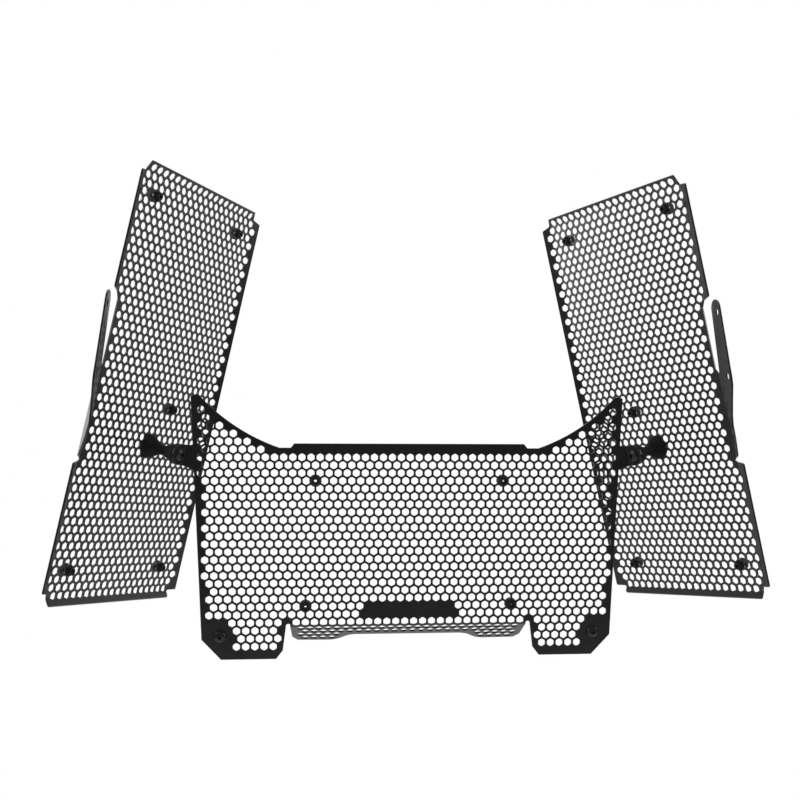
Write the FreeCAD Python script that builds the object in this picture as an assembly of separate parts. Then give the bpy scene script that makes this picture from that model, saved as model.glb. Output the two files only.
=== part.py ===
# Radiator guard: a wide lower guard and two tall side guards, all folded from hex-pierced sheet,
# joined by two waisted rubber mounts. Millimetres, +X right, +Y back towards the radiator, +Z up.
# Origin: midway between the two lower fixing screws, on the back face of the lower guard.
import FreeCAD, Part
import math
import os

V = FreeCAD.Vector
os.makedirs("parts", exist_ok=True)

# Sheet and mesh
sheet = 1.5
bend = 1.2
cell = 29.0
rib = 6.3
border = 2.6
cutter_reach = 10.0
cutter_start = 1.0
least_share = 0.22
centre_shift = (14.5, 34.0)
side_shift = (24.0, 24.0)
bare_strip = (31.5, -57.6, 4.6)
buffer_land = 5.5
corner_land = 6.5
mount_land = 0.5

# Lower guard, front view: half widths from the centre line, heights from its middle row of mesh
guard_top = 66.5
guard_bottom = -69.6
top_flange_base = 91.0
shoulder = 68.0
shoulder_gap = 1.5
shoulder_width = 8.9
shoulder_in = top_flange_base + shoulder_gap
shoulder_out = shoulder_in + shoulder_width
horn_in = (164.4, 108.5)
horn_out = (169.0, 107.6)
horn_via = (134.0, 83.9)
flank_foot = (159.5, -79.0)
bottom_half = 92.2
leg_bottom = -94.5
leg_taper = 14.9
leg_gap = 10.5
knee_gap = 5.4
crotch_gap = 3.2
crotch_round = 1.9
leg_out = flank_foot[0] - leg_taper
leg_in = bottom_half + leg_gap
leg_knee = (bottom_half + knee_gap, -88.0)
leg_crotch = (bottom_half + crotch_gap, -70.0)
crotch_via = (bottom_half + crotch_round, -67.7)

# Its folded edges
top_flange = 5.0
top_flange_taper = 2.0
top_flange_half = top_flange_base - top_flange_taper
top_fold = 15.0
lip_fold = 55.0
lip_taper = 1.6
lip_round = 4.2
lip_side = (bottom_half - lip_taper, 20.5)
lip_lobe = (lip_side[0] - lip_round, 27.0)
lip_wave = ((62.5, 27.6), (56.4, 26.3), (51.0, 22.2), (45.8, 18.3), (39.4, 17.0))

# Side guard plane: turned outwards, leaning, then rolled in its own plane
side_ref = (203.1, -16.2, 143.6)
side_turn = 58.3
side_lean = 10.5
side_roll = 6.85

# Side guard outline in its own plane: across from the outer edge, up from the middle
fold_outer = -38.9
fold_inner = 98.0
fold_top = 125.5
fold_bottom = -189.5
flange_outer = 8.0
flange_inner = 9.0
flange_end = 6.0
angle_outer = 28.0
angle_inner = 20.0
angle_top = 23.0
angle_bottom = 45.0
corner_across = 1.8
corner_up = 3.5
slot_side = -36.2
slot_top = 37.5
slot_foot = -22.0
slot_slants = (7.0, 4.0)
notch_top = -86.5
notch_foot = -91.5
notch_deep = 1.3
notch_slant = 1.8
flange_slant = 1.5
flange_slant_corner = 0.8
flange_slant_slot = 3.0

# Bracket arm on the outer edge of each side guard
web_angle = 49.5
web_edge = ((-41.5, -84.5), (-46.8, -75.5), (-49.6, -69.0))
arm_rise = -24.4
arm_slope_across = -0.62
arm_slope_up = -0.1164
crease_high = -20.0
crease_low = -61.0
arm_edge = ((-52.6, -52.0), (-55.9, -41.0), (-59.0, -31.0))
arm_elbow = (-59.5, -26.0)
arm_outer = ((-58.9, -20.0), (-55.8, 26.5))
arm_tip = (-50.4, 33.2)
arm_inner = (-43.2, 27.5)
arm_hole = 5.3
arm_hole_top = (-51.3, 23.7)
arm_hole_low = (-54.5, -24.0)

# Rubber mount between an ear of the lower guard and a side guard
mount_at = (32.8, -73.0)
mount_length = 29.8
mount_base = 18.4
mount_waist = 7.8
mount_end = 16.0
mount_rim = 2.0
waist_low = 12.5
waist_high = 17.5
ear_radius = 8.1
tab_taper = 3.0

# Push-in rubber buffers: a pad behind the sheet, a neck in a hex gap and a tapered head in front
buffer_pad = 9.5
buffer_pad_depth = 4.0
buffer_neck = 5.5
buffer_head = 8.0
buffer_tip = 5.4
buffer_head_height = 3.0
buffer_sides = 16
buffer_from_outer = 17.9
buffer_from_inner = 14.0
buffer_from_top = 16.4
buffer_from_bottom = 19.8
buffer_outer = fold_outer + buffer_from_outer
buffer_inner = fold_inner - buffer_from_inner
buffer_high = fold_top - buffer_from_top
buffer_low = fold_bottom + buffer_from_bottom
side_buffers = {"top_outer": (buffer_outer, buffer_high), "top_inner": (buffer_inner, buffer_high),
                "middle": (52.5, -42.4), "bottom_outer": (buffer_outer, buffer_low),
                "bottom_inner": (buffer_inner, buffer_low)}
centre_buffers = {"top": (73.5, 42.4), "bottom": (80.5, -54.6)}

# Screws
screw_head = 9.6
screw_head_height = 2.7
screw_shank = 5.0
mount_screw_depth = 9.0
corner_at = (145.6, -76.8)
corner_shank = 14.0
corner_shoulder = 6.0


class Plane:
    """A flat face of a sheet: an origin, two directions in it and the way its front looks."""

    def __init__(self, origin, across, up):
        self.origin = origin
        self.across = across
        self.up = up
        self.front = across.cross(up)

    def at(self, a, b, c=0.0):
        return self.origin + self.across * a + self.up * b + self.front * c


class Tilted(Plane):
    """A folded face given in the coordinates of the flat panel it belongs to."""

    def __init__(self, base, rise, slope_across, slope_up):
        self.base = base
        self.rise = rise
        self.slope = (slope_across, slope_up)
        front = base.front - base.across * slope_across - base.up * slope_up
        front.normalize()
        self.front = front

    def at(self, a, b, c=0.0):
        height = self.rise + self.slope[0] * a + self.slope[1] * b
        return self.base.at(a, b, height) + self.front * c


def wire(points):
    """A closed wire; an item ('via', point) makes the edge through it an arc."""
    edges = []
    n = len(points)
    i = 0
    while i < n:
        p = points[i]
        q = points[(i + 1) % n]
        if isinstance(q, tuple):
            end = points[(i + 2) % n]
            edges.append(Part.Arc(p, q[1], end).toShape())
            i += 2
        else:
            edges.append(Part.makeLine(p, q))
            i += 1
    return Part.Wire(edges)


def plate(points, front):
    """The sheet behind an outline on its front face."""
    return Part.Face(wire(points)).extrude(front * -sheet)


def setback(angle, backward=False):
    radius = bend + sheet if backward else bend
    return radius * math.tan(math.radians(angle) / 2)


def fold(p, q, front_a, front_b, into_a):
    """The bent strip along the crease p-q; into_a points from the crease into face a."""
    along = (q - p).normalize()
    into_b = along.cross(front_b)
    if into_b.dot(into_a) > 0:
        into_b = into_b * -1.0
    angle = math.degrees(math.acos(max(-1.0, min(1.0, front_a.dot(front_b)))))
    backward = into_b.dot(front_a) < 0
    back = setback(angle, backward)
    radius = bend + sheet if backward else bend
    middle = (front_a + front_b).normalize()
    way = -1.0 if backward else 1.0
    centre = p + middle * (way * radius / math.cos(math.radians(angle) / 2))
    inner = radius
    outer = radius + way * sheet
    a1 = p + into_a * back
    b1 = p + into_b * back
    a2 = a1 - front_a * sheet
    b2 = b1 - front_b * sheet
    mid1 = centre - middle * (way * inner)
    mid2 = centre - middle * (way * outer)
    edges = [Part.Arc(a1, mid1, b1).toShape(), Part.makeLine(b1, b2),
             Part.Arc(b2, mid2, a2).toShape(), Part.makeLine(a2, a1)]
    return Part.Face(Part.Wire(edges)).extrude(q - p)


def mirror(shape):
    return shape.mirror(V(0, 0, 0), V(1, 0, 0))


def join(shapes):
    return shapes[0].multiFuse(shapes[1:]).removeSplitter()


def drill(plane, a, b, radius):
    """A round cutter through the sheet, square to its plane."""
    return Part.makeCylinder(radius, 2 * cutter_reach, plane.at(a, b, cutter_reach), plane.front * -1.0)


def ring(plane, a, b, radius, sides, c):
    """Corners of a regular outline round a point of the plane, the first one off the across line."""
    turns = [2 * math.pi * (k + 0.5) / sides for k in range(sides)]
    return [plane.at(a + radius * math.cos(t), b + radius * math.sin(t), c) for t in turns]


def face(points):
    return Part.Face(Part.makePolygon(points + points[:1]))


def hexagon(plane, a, b, flats, c, deep):
    """A hex prism from height c down, point up like the gaps of the mesh."""
    return face(ring(plane, a, b, flats / math.sqrt(3), 6, c)).extrude(plane.front * -deep)


def drum(plane, a, b, low, high, low_radius, high_radius, sides):
    """A many-sided solid between two heights, straight or tapered."""
    bottom = ring(plane, a, b, low_radius, sides, low)
    top = ring(plane, a, b, high_radius, sides, high)
    faces = [face(bottom), face(top)]
    for k in range(sides):
        n = (k + 1) % sides
        faces.append(face([bottom[k], bottom[n], top[n], top[k]]))
    return Part.makeSolid(Part.makeShell(faces))


def edge_gap(a, b, outline):
    """How far a point is inside an outline; negative when it is outside."""
    inside = False
    gap = 1e9
    n = len(outline)
    for i in range(n):
        (x1, y1), (x2, y2) = outline[i], outline[(i + 1) % n]
        if (y1 > b) != (y2 > b) and a < (x2 - x1) * (b - y1) / (y2 - y1) + x1:
            inside = not inside
        dx, dy = x2 - x1, y2 - y1
        t = max(0.0, min(1.0, ((a - x1) * dx + (b - y1) * dy) / (dx * dx + dy * dy)))
        gap = min(gap, math.hypot(a - x1 - t * dx, b - y1 - t * dy))
    return gap if inside else -gap


def mesh(plane, outline, solid_spots, shift, bare=None):
    """Cutters for the hex gaps, cut back along the outline and round the solid spots."""
    deep = sheet + 2 * cutter_start
    area = face([plane.at(a, b, cutter_start) for a, b in outline]).makeOffset2D(-border, 2)
    region = area.extrude(plane.front * -deep)
    pads = [hexagon(plane, a, b, 2 * radius, cutter_start, deep) for a, b, radius in solid_spots]
    if bare:
        half, level, half_high = bare
        corners = [(-half, level - half_high), (half, level - half_high), (half, level + half_high),
                   (-half, level + half_high)]
        pads.append(face([plane.at(a, b, cutter_start) for a, b in corners]).extrude(plane.front * -deep))
    region = region.cut(Part.makeCompound(pads))
    row_step = cell * math.sqrt(3) / 2
    cutters = []
    for row in range(-14, 15):
        for column in range(-12, 13):
            a = shift[0] + cell * (column + 0.5 * (row % 2))
            b = shift[1] + row_step * row
            taken = any(math.hypot(a - s[0], b - s[1]) < cell / 2 for s in solid_spots)
            if edge_gap(a, b, outline) > -cell / 2 and not taken:
                cutters.append(hexagon(plane, a, b, cell - rib, cutter_start, deep))
    least = least_share * cutters[0].Volume
    return [gap for gap in region.common(Part.makeCompound(cutters)).Solids if gap.Volume > least]


def side_plane():
    """Front face of the left side guard."""
    turn, lean, roll = (math.radians(k) for k in (side_turn, side_lean, side_roll))
    level = V(math.cos(turn), math.sin(turn), 0)
    steep = V(math.sin(lean) * math.sin(turn), -math.sin(lean) * math.cos(turn), math.cos(lean))
    across = level * math.cos(roll) - steep * math.sin(roll)
    up = steep * math.cos(roll) + level * math.sin(roll)
    return Plane(centre.at(-side_ref[0], side_ref[2], -side_ref[1]), across, up)


centre = Plane(V(0, -sheet, -corner_at[1]), V(1, 0, 0), V(0, 0, 1))
side = side_plane()


def ear_plane():
    """Front face of the left ear, parallel to the side guard and one mount length in front of it."""
    return Plane(side.at(mount_at[0], mount_at[1], mount_length + sheet), side.across, side.up)


ear = ear_plane()
ear_crease = centre.front.cross(ear.front)
if ear_crease.z < 0:
    ear_crease = ear_crease * -1.0
ear_crease.normalize()
ear_out = ear_crease.cross(ear.front)
if ear_out.y > 0:
    ear_out = ear_out * -1.0
ear_foot = ear.origin - ear_out * ((ear.origin.y - centre.origin.y) / ear_out.y)


def centre_guard():
    ear_angle = math.degrees(math.acos(centre.front.dot(ear.front)))
    ear_back = setback(ear_angle)
    crease_top = ear_foot + ear_crease * ear_radius
    crease_low = ear_foot - ear_crease * ear_radius
    tab_in = V(-ear_crease.z, 0, ear_crease.x) * -1.0
    tab_top = crease_top + tab_in * ear_back
    tab_low = crease_low + tab_in * ear_back
    tab_high = tab_top.z - centre.origin.z
    tab_foot = tab_low.z - centre.origin.z

    def flank(b):
        t = (b - flank_foot[1]) / (horn_out[1] - flank_foot[1])
        return flank_foot[0] + t * (horn_out[0] - flank_foot[0])

    lip_gap = setback(lip_fold, True)
    top_gap = setback(top_fold, True)
    half = [(top_flange_base, guard_top - top_gap), (shoulder_in, shoulder), (shoulder_out, shoulder),
            ("via", horn_via), horn_in, horn_out,
            (flank(tab_high), tab_high), (-tab_top.x, tab_high), (-tab_low.x, tab_foot),
            (flank(tab_foot - tab_taper), tab_foot - tab_taper),
            flank_foot, (leg_out, leg_bottom), (leg_in, leg_bottom), leg_knee, leg_crotch,
            ("via", crotch_via), (bottom_half, guard_bottom + lip_gap)]
    right = []
    left = []
    for p in half:
        if p[0] == "via":
            right.append(("via", centre.at(p[1][0], p[1][1])))
            left.append(("via", centre.at(-p[1][0], p[1][1])))
        else:
            right.append(centre.at(p[0], p[1]))
            left.append(centre.at(-p[0], p[1]))
    body = plate(right + left[::-1], centre.front)
    flat = [p[1] if p[0] == "via" else p for p in half]
    whole = flat + [(-a, b) for a, b in flat[::-1]]
    spots = [(s * corner_at[0], corner_at[1], corner_land) for s in (-1, 1)]
    spots += [(s * p[0], p[1], buffer_land) for s in (-1, 1) for p in centre_buffers.values()]
    body = body.cut(Part.makeCompound(mesh(centre, whole, spots, centre_shift, bare_strip)))
    holes = [hexagon(centre, s * p[0], p[1], buffer_neck, cutter_start, sheet + 2 * cutter_start)
             for s in (-1, 1) for p in centre_buffers.values()]
    holes += [drill(centre, s * corner_at[0], corner_at[1], corner_shoulder / 2) for s in (-1, 1)]
    body = body.cut(Part.makeCompound(holes))

    a = math.radians(lip_fold)
    lip = Plane(centre.at(0, guard_bottom), V(-1, 0, 0), V(0, math.sin(a), -math.cos(a)))
    lip_half = [(bottom_half, lip_gap), lip_side, lip_lobe, lip_wave[0], ("via", lip_wave[1]), lip_wave[2],
                ("via", lip_wave[3]), lip_wave[4]]
    out = [("via", lip.at(*p[1])) if p[0] == "via" else lip.at(*p) for p in lip_half]
    out += [("via", lip.at(-p[1][0], p[1][1])) if p[0] == "via" else lip.at(-p[0], p[1])
            for p in lip_half[::-1]]
    lip_plate = plate(out, lip.front)
    lip_bend = fold(centre.at(-bottom_half, guard_bottom), centre.at(bottom_half, guard_bottom),
                    centre.front, lip.front, V(0, 0, 1))

    a = math.radians(top_fold)
    rim = Plane(centre.at(0, guard_top), V(1, 0, 0), V(0, math.sin(a), math.cos(a)))
    rim_plate = plate([rim.at(-top_flange_base, top_gap), rim.at(top_flange_base, top_gap),
                       rim.at(top_flange_half, top_flange), rim.at(-top_flange_half, top_flange)], rim.front)
    rim_bend = fold(centre.at(-top_flange_base, guard_top), centre.at(top_flange_base, guard_top),
                    centre.front, rim.front, V(0, 0, -1))

    ear_points = [crease_low + ear_out * ear_back, ear.origin - ear_crease * ear_radius,
                  ("via", ear.origin + ear_out * ear_radius), ear.origin + ear_crease * ear_radius,
                  crease_top + ear_out * ear_back]
    ear_plate = plate(ear_points, ear.front).cut(drill(ear, 0, 0, screw_shank / 2))
    ear_bend = fold(crease_low, crease_top, centre.front, ear.front, tab_in)
    ears = [ear_plate, ear_bend]
    return join([body, lip_plate, lip_bend, rim_plate, rim_bend] + ears + [mirror(e) for e in ears])


def side_guard():
    """The left side guard."""
    gaps = {k: setback(k) for k in (angle_outer, angle_inner, angle_top, angle_bottom, web_angle)}
    west = fold_outer + gaps[angle_outer]
    web_west = fold_outer + gaps[web_angle]
    east = fold_inner - gaps[angle_inner]
    north = fold_top - gaps[angle_top]
    south = fold_bottom + gaps[angle_bottom]
    left_in = fold_outer + corner_across
    right_in = fold_inner - corner_across
    high = fold_top - corner_up
    low = fold_bottom + corner_up
    outline = [(left_in, south), (right_in, south), (east, low), (east, high), (right_in, north),
               (left_in, north), (west, high), (west, slot_top), (slot_side, slot_top - slot_slants[0]),
               (slot_side, slot_foot + slot_slants[1]),
               (web_west, slot_foot), (web_west, notch_top), (web_west + notch_deep, notch_top - notch_slant),
               (web_west + notch_deep, notch_foot + notch_slant), (west, notch_foot), (west, low)]
    body = plate([side.at(*p) for p in outline], side.front)
    spots = [(p[0], p[1], buffer_land) for p in side_buffers.values()]
    spots.append((mount_at[0], mount_at[1], mount_base / 2 + mount_land))
    body = body.cut(Part.makeCompound(mesh(side, outline, spots, side_shift)))
    holes = [hexagon(side, p[0], p[1], buffer_neck, cutter_start, sheet + 2 * cutter_start)
             for p in side_buffers.values()]
    holes.append(drill(side, mount_at[0], mount_at[1], screw_shank / 2))
    body = body.cut(Part.makeCompound(holes))
    pieces = [body]

    def edge(p, q, angle, length, slant_p=0.0, slant_q=0.0):
        """A straight flange folded forward from p to q of the panel."""
        along = side.at(*q) - side.at(*p)
        reach = along.Length
        along.normalize()
        into = side.front.cross(along)
        a = math.radians(angle)
        away = into * (-math.cos(a)) + side.front * math.sin(a)
        front = side.front * math.cos(a) + into * math.sin(a)
        start = side.at(*p)
        gap = gaps[angle]
        corners = [start + away * gap, start + along * reach + away * gap,
                   start + along * (reach - slant_q) + away * length, start + along * slant_p + away * length]
        pieces.append(plate(corners, front))
        pieces.append(fold(start, side.at(*q), side.front, front, into))

    edge((left_in, fold_bottom), (right_in, fold_bottom), angle_bottom, flange_end)
    edge((fold_inner, low), (fold_inner, high), angle_inner, flange_inner, flange_slant, flange_slant)
    edge((right_in, fold_top), (left_in, fold_top), angle_top, flange_end)
    edge((fold_outer, high), (fold_outer, slot_top), angle_outer, flange_outer, flange_slant_corner,
         flange_slant_slot)
    edge((fold_outer, notch_foot), (fold_outer, low), angle_outer, flange_outer, flange_slant,
         flange_slant_corner)

    slope = -math.tan(math.radians(web_angle))
    web = Tilted(side, -slope * fold_outer, slope, 0.0)
    arm = Tilted(side, arm_rise, arm_slope_across, arm_slope_up)

    def crease_at(b):
        return ((arm_rise + arm_slope_up * b + slope * fold_outer) / (slope - arm_slope_across), b)

    crease_inner = crease_at(crease_high)
    crease_outer = crease_at(crease_low)
    crease = (web.at(*crease_outer) - web.at(*crease_inner)).normalize()
    into_web = crease.cross(web.front)
    if into_web.dot(side.across) < 0:
        into_web = into_web * -1.0
    into_arm = crease.cross(arm.front)
    if into_arm.dot(side.across) > 0:
        into_arm = into_arm * -1.0
    turn = math.degrees(math.acos(web.front.dot(arm.front)))
    back = setback(turn, True)
    lead = side.up.cross(web.front) * -1.0
    if lead.dot(side.across) > 0:
        lead = lead * -1.0
    start = lead * gaps[web_angle]
    web_points = [side.at(fold_outer, notch_top) + start] + [web.at(*p) for p in web_edge]
    web_points += [web.at(*crease_outer) + into_web * back, web.at(*crease_inner) + into_web * back,
                   side.at(fold_outer, slot_foot) + start]
    pieces.append(plate(web_points, web.front))
    pieces.append(fold(side.at(fold_outer, notch_top), side.at(fold_outer, slot_foot), side.front, web.front,
                       side.across))
    arm_points = [arm.at(*crease_inner) + into_arm * back, arm.at(*crease_outer) + into_arm * back]
    arm_points += [arm.at(*p) for p in arm_edge]
    arm_points += [("via", arm.at(*arm_elbow)), arm.at(*arm_outer[0]), arm.at(*arm_outer[1]),
                   ("via", arm.at(*arm_tip)), arm.at(*arm_inner)]
    arm_plate = plate(arm_points, arm.front)
    cutters = [drill(arm, p[0], p[1], arm_hole / 2) for p in (arm_hole_top, arm_hole_low)]
    pieces.append(arm_plate.cut(Part.makeCompound(cutters)))
    pieces.append(fold(web.at(*crease_inner), web.at(*crease_outer), web.front, arm.front, into_web))
    return join(pieces)


def rubber_buffer(plane, a, b):
    back = -sheet - buffer_pad_depth
    pad = drum(plane, a, b, back, -sheet, buffer_pad / 2, buffer_pad / 2, buffer_sides)
    head = drum(plane, a, b, 0.0, buffer_head_height, buffer_head / 2, buffer_tip / 2, buffer_sides)
    return join([pad, hexagon(plane, a, b, buffer_neck, 0.0, sheet), head])


def rubber_mount():
    """A waisted spool, square to the side guard, blind-tapped at both ends."""
    base, waist, end, hole = (d / 2 for d in (mount_base, mount_waist, mount_end, screw_shank))
    a, b = mount_at

    def p(r, z):
        return side.at(a, b, z) + side.across * r

    depth = mount_screw_depth
    far = mount_length
    profile = [p(0, depth), p(hole, depth), p(hole, 0), p(base, 0), p(base, mount_rim),
               p(waist, waist_low), p(waist, waist_high), p(end, far - mount_rim), p(end, far),
               p(hole, far), p(hole, far - depth), p(0, far - depth)]
    edges = [Part.makeLine(q, r) for q, r in zip(profile, profile[1:] + profile[:1])]
    return Part.Face(Part.Wire(edges)).revolve(side.at(a, b), side.front, 360)


def screw(plane, a, b, length, sign=1.0, seat=0.0):
    """A round-head screw; its shank runs behind the plane, or in front of it when sign is -1."""
    axis = plane.front * sign
    foot = plane.at(a, b, seat)
    shank = Part.makeCylinder(screw_shank / 2, length, foot, axis * -1.0)
    head = Part.makeCylinder(screw_head / 2, screw_head_height, foot, axis)
    return join([shank, head])


def corner_screw():
    """A screw whose shoulder fills the hole of the sheet, so that its thread starts behind it."""
    shoulder = Part.makeCylinder(corner_shoulder / 2, sheet, centre.at(-corner_at[0], corner_at[1]),
                                 centre.front * -1.0)
    return join([screw(centre, -corner_at[0], corner_at[1], corner_shank), shoulder])


def pair(shape):
    return Part.makeCompound([shape, mirror(shape)])


def export(name, shape):
    shape.exportStep("parts/" + name + ".step")


def export_both(name, left_shape):
    export("left_" + name, left_shape)
    export("right_" + name, mirror(left_shape))


export("centre_guard", centre_guard())
export_both("guard", side_guard())
for place, (a, b) in side_buffers.items():
    export_both("buffer_" + place, rubber_buffer(side, a, b))
for place, (a, b) in centre_buffers.items():
    export_both("centre_buffer_" + place, rubber_buffer(centre, -a, b))
export("rubber_mounts", pair(rubber_mount()))
export("ear_screws", pair(screw(ear, 0, 0, sheet + mount_screw_depth)))
export("base_screws", pair(screw(side, mount_at[0], mount_at[1], sheet + mount_screw_depth, -1.0, -sheet)))
export("corner_screws", pair(corner_screw()))
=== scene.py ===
import math

import bmesh
import bpy
import numpy as np
from mathutils import Matrix, Vector
from mathutils.geometry import delaunay_2d_cdt


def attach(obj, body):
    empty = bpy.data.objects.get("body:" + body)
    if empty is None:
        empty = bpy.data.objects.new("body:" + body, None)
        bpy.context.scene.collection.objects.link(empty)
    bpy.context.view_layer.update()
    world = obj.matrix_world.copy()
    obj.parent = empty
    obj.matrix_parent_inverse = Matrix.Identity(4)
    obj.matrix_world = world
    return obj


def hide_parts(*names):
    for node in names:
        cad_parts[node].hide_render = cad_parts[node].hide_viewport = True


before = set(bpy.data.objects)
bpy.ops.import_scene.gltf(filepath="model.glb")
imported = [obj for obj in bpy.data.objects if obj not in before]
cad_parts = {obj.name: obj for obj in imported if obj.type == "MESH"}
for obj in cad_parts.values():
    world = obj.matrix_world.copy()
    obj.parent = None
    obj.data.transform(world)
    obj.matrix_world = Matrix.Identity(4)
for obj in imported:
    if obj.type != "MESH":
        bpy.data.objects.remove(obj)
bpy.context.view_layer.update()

MM = 0.001

# Sheet, folds and mesh, in millimetres. A land is the least distance from the centre of a gap to an edge, or
# to the middle of a spot that has no gaps.
sheet = 1.5
bend = 1.2
bend_mid = bend + sheet / 2
bend_steps = 6
chamfer = 0.16
pitch = 7.0
row_step = pitch * math.sqrt(3) / 2
centre_gap_flats = 5.44
side_gap_flats = 5.32
gap_softness = 0.55
edge_land = 4.45
side_edge_land = 3.2
mesh_rows = (-36, 30)
mesh_columns = (-30, 31)

# Lower guard, heights from its middle row of mesh
guard_top = 66.5
guard_bottom = -69.6
guard_round = 1.0
shoulder = 68.0
shoulder_in = 92.5
shoulder_out = 101.4
horn_in = (163.2, 108.7)
horn_out = (169.0, 107.6)
horn_via = (134.0, 83.9)
flank_foot = (159.5, -79.0)
bottom_half = 92.2
leg_bottom = -94.5
leg_out = 144.6
leg_in = bottom_half + 10.5
leg_knee = (bottom_half + 5.4, -88.0)
leg_crotch = (bottom_half + 3.2, -70.0)
crotch_via = (bottom_half + 1.9, -67.7)
top_flange = 5.0
top_flange_half = 90.0
top_fold = 15.0
lip_fold = 55.0
lip_side = (bottom_half - 1.6, 20.5)
lip_lobe = (bottom_half - 5.8, 27.0)
lip_wave = ((62.5, 27.6), (56.4, 26.3), (51.0, 22.2), (45.8, 18.3), (39.4, 17.0))
corner_at = (145.6, -76.8)
corner_land = 12.0
ear_land = 18.5
middle_height = -corner_at[1]

# Rows of its mesh that are bare in the middle, with half the bare width: the plain strip, and the top row
bare_rows = {-10: 5.1 * pitch, -9: 4.6 * pitch, 11: 92.0}

# Side guard plane and outline, across from its outer edge and up from its middle
side_ref = (203.1, -16.2, 143.6)
side_turn = 58.3
side_lean = 10.5
side_roll = 6.85
fold_outer = -38.9
fold_inner = 98.0
fold_top = 125.5
fold_bottom = -189.5
flange_outer = 8.0
flange_inner = 9.0
flange_end = 6.0
angle_outer = 28.0
angle_inner = 20.0
angle_top = 23.0
angle_bottom = 45.0
corner_across = 1.4
corner_up = (2.4, 3.5)
corner_past = (2.2, 1.6)
top_ends = (-36.1, 98.6)
low_ends = (-38.3, 96.6)
inner_slants = (2.3, 0.8)
corner_round = 1.6
slot_side = -36.2
slot_top = 34.5
slot_foot = -22.0
slot_slants = (5.0, 4.0)
notch_top = -86.5
notch_foot = -90.0
notch_deep = 1.3
notch_slant = 1.2
flange_slant = 0.8
flange_slant_slot = 2.0
web_angle = 49.5
web_edge = ((-41.5, -84.5), (-46.8, -75.5), (-49.6, -69.0))
arm_rise = -24.4
arm_slope = (-0.62, -0.1164)
crease_high = -20.0
crease_low = -61.0
arm_edge = ((-52.6, -52.0), (-55.9, -41.0), (-59.0, -31.0))
arm_elbow = (-59.4, -26.0)
arm_outer = ((-58.9, -20.0), (-55.8, 26.5))
arm_tip = (-50.4, 33.2)
arm_inner = (-43.2, 27.5)
arm_hole = 5.3
arm_holes = ((-51.3, 23.7), (-54.5, -24.0))

# Where its mesh leaves the sheet bare: left of a line, below a line, and beside the slot and the notch
bare_left = -40.0
bare_below = -190.0
bare_beside = -33.0
bare_beside_heights = (-93.0, 33.4)

# Boxes that hold a fold in a flat pattern: how far past its line, its ends, the slot, the arm and the notch
beyond = 300.0
fold_margin = 1.0
end_margin = 0.3
slot_margin = 0.1
arm_margin = 0.2
notch_margin = 0.01
arm_box_step = 0.5
arm_box_foot = -75.0
ear_box_in = 4.0
ear_box_half = 12.0

# Rubber mount, ears, buffers and screws
mount_at = (32.8, -73.0)
mount_length = 29.8
mount_base = 18.4
mount_waist = 7.8
mount_waist_ends = (12.5, 17.5)
mount_waist_round = 3.5
mount_end = 16.0
mount_rim = 2.0
mount_round = 0.5
mount_land = 9.6
mount_screw_depth = 9.0
mount_steps = 64
ear_radius = 8.1
tab_taper = 3.0
buffer_pad = 9.5
buffer_pad_depth = 4.0
buffer_neck = 5.3
buffer_head = 8.0
buffer_head_edge = 0.25
buffer_tip = 5.4
buffer_head_height = 3.0
buffer_bore = 2.4
buffer_round = 0.35
side_buffers = {"top_outer": (-21.0, 109.1), "top_inner": (84.0, 109.1), "middle": (52.5, -42.4),
                "bottom_outer": (-21.0, -169.7), "bottom_inner": (84.0, -169.7)}
centre_buffers = {"top": (73.5, 42.4), "bottom": (80.5, -54.6)}
screw_head = 9.6
screw_head_height = 2.7
screw_head_edge = 0.35
screw_head_under = 0.15
screw_dome = (0.0, 0.25, 0.5, 0.72, 0.92, 1.08)
screw_dome_power = 0.8
screw_shank = 5.0
screw_tip = 0.5
screw_socket = 3.0
socket_depth = 1.6
socket_point = 0.3
socket_rim = 1.35
hole_slack = 0.1
corner_shank = 14.0
corner_shoulder = 6.0

# Limits: what counts as nothing, the distance at which points merge, a corner's share of its edge, the
# least turn and cut that are rounded, what keeps sharp corners from being pushed too far, and the share of
# a round gap in which triangles are dropped
tiny = 1e-9
merge_distance = 1e-5
corner_share = 0.45
least_turn = 0.2
least_cut = 0.02
least_push = 0.3
round_hole_share = 0.99

# Angles over which an edge stays sharp
sheet_crease = 32.0
turned_crease = 28.0

# Materials: where most of a noise lies, how much finer the roughness varies than the tone, and the depth
# of the grain in metres
noise_range = (0.3, 0.7)
rough_finer = 2.5
grain_depth = 0.0001

# Studio, in metres
lamp_aim = (0, 0, 0.15)
lamps = {"key": ((-1.7, -0.3, 1.1), (1.0, 1.0), 22.0), "fill": ((1.8, -0.3, 0.9), (1.0, 1.0), 20.0),
         "left_side": ((-1.6, 0.7, 0.3), (0.9, 0.9), 10.0), "right_side": ((1.6, 0.7, 0.3), (0.9, 0.9), 1.5),
         "top": ((0.0, 0.3, 1.8), (1.6, 1.2), 12.0)}
soft_light = 0.55
front_glow = 0.1
glow_turn = (0.1, 0.8)
floor_colour = (0.93, 0.93, 0.93)
floor_lighter = 1.01
floor_noise = 3.0
floor_rough = 0.9
floor_height = -0.30
floor_half = 1.0
floor_depths = (-0.85, 1.4)
floor_fade = (0.3, 0.8)
floor_share = 0.8

# Camera, at the photograph's place and angle
camera_lens = 47.01
camera_sensor = 36.0
camera_clip = 0.05
camera_at = (-0.08524, -0.80956, 0.18351)
camera_look = (0.09459, 0.99551, -0.00171)
camera_level = (0.99549, -0.09458, 0.00720)


def unit(v):
    v = np.asarray(v, float)
    return v / np.linalg.norm(v)


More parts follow.
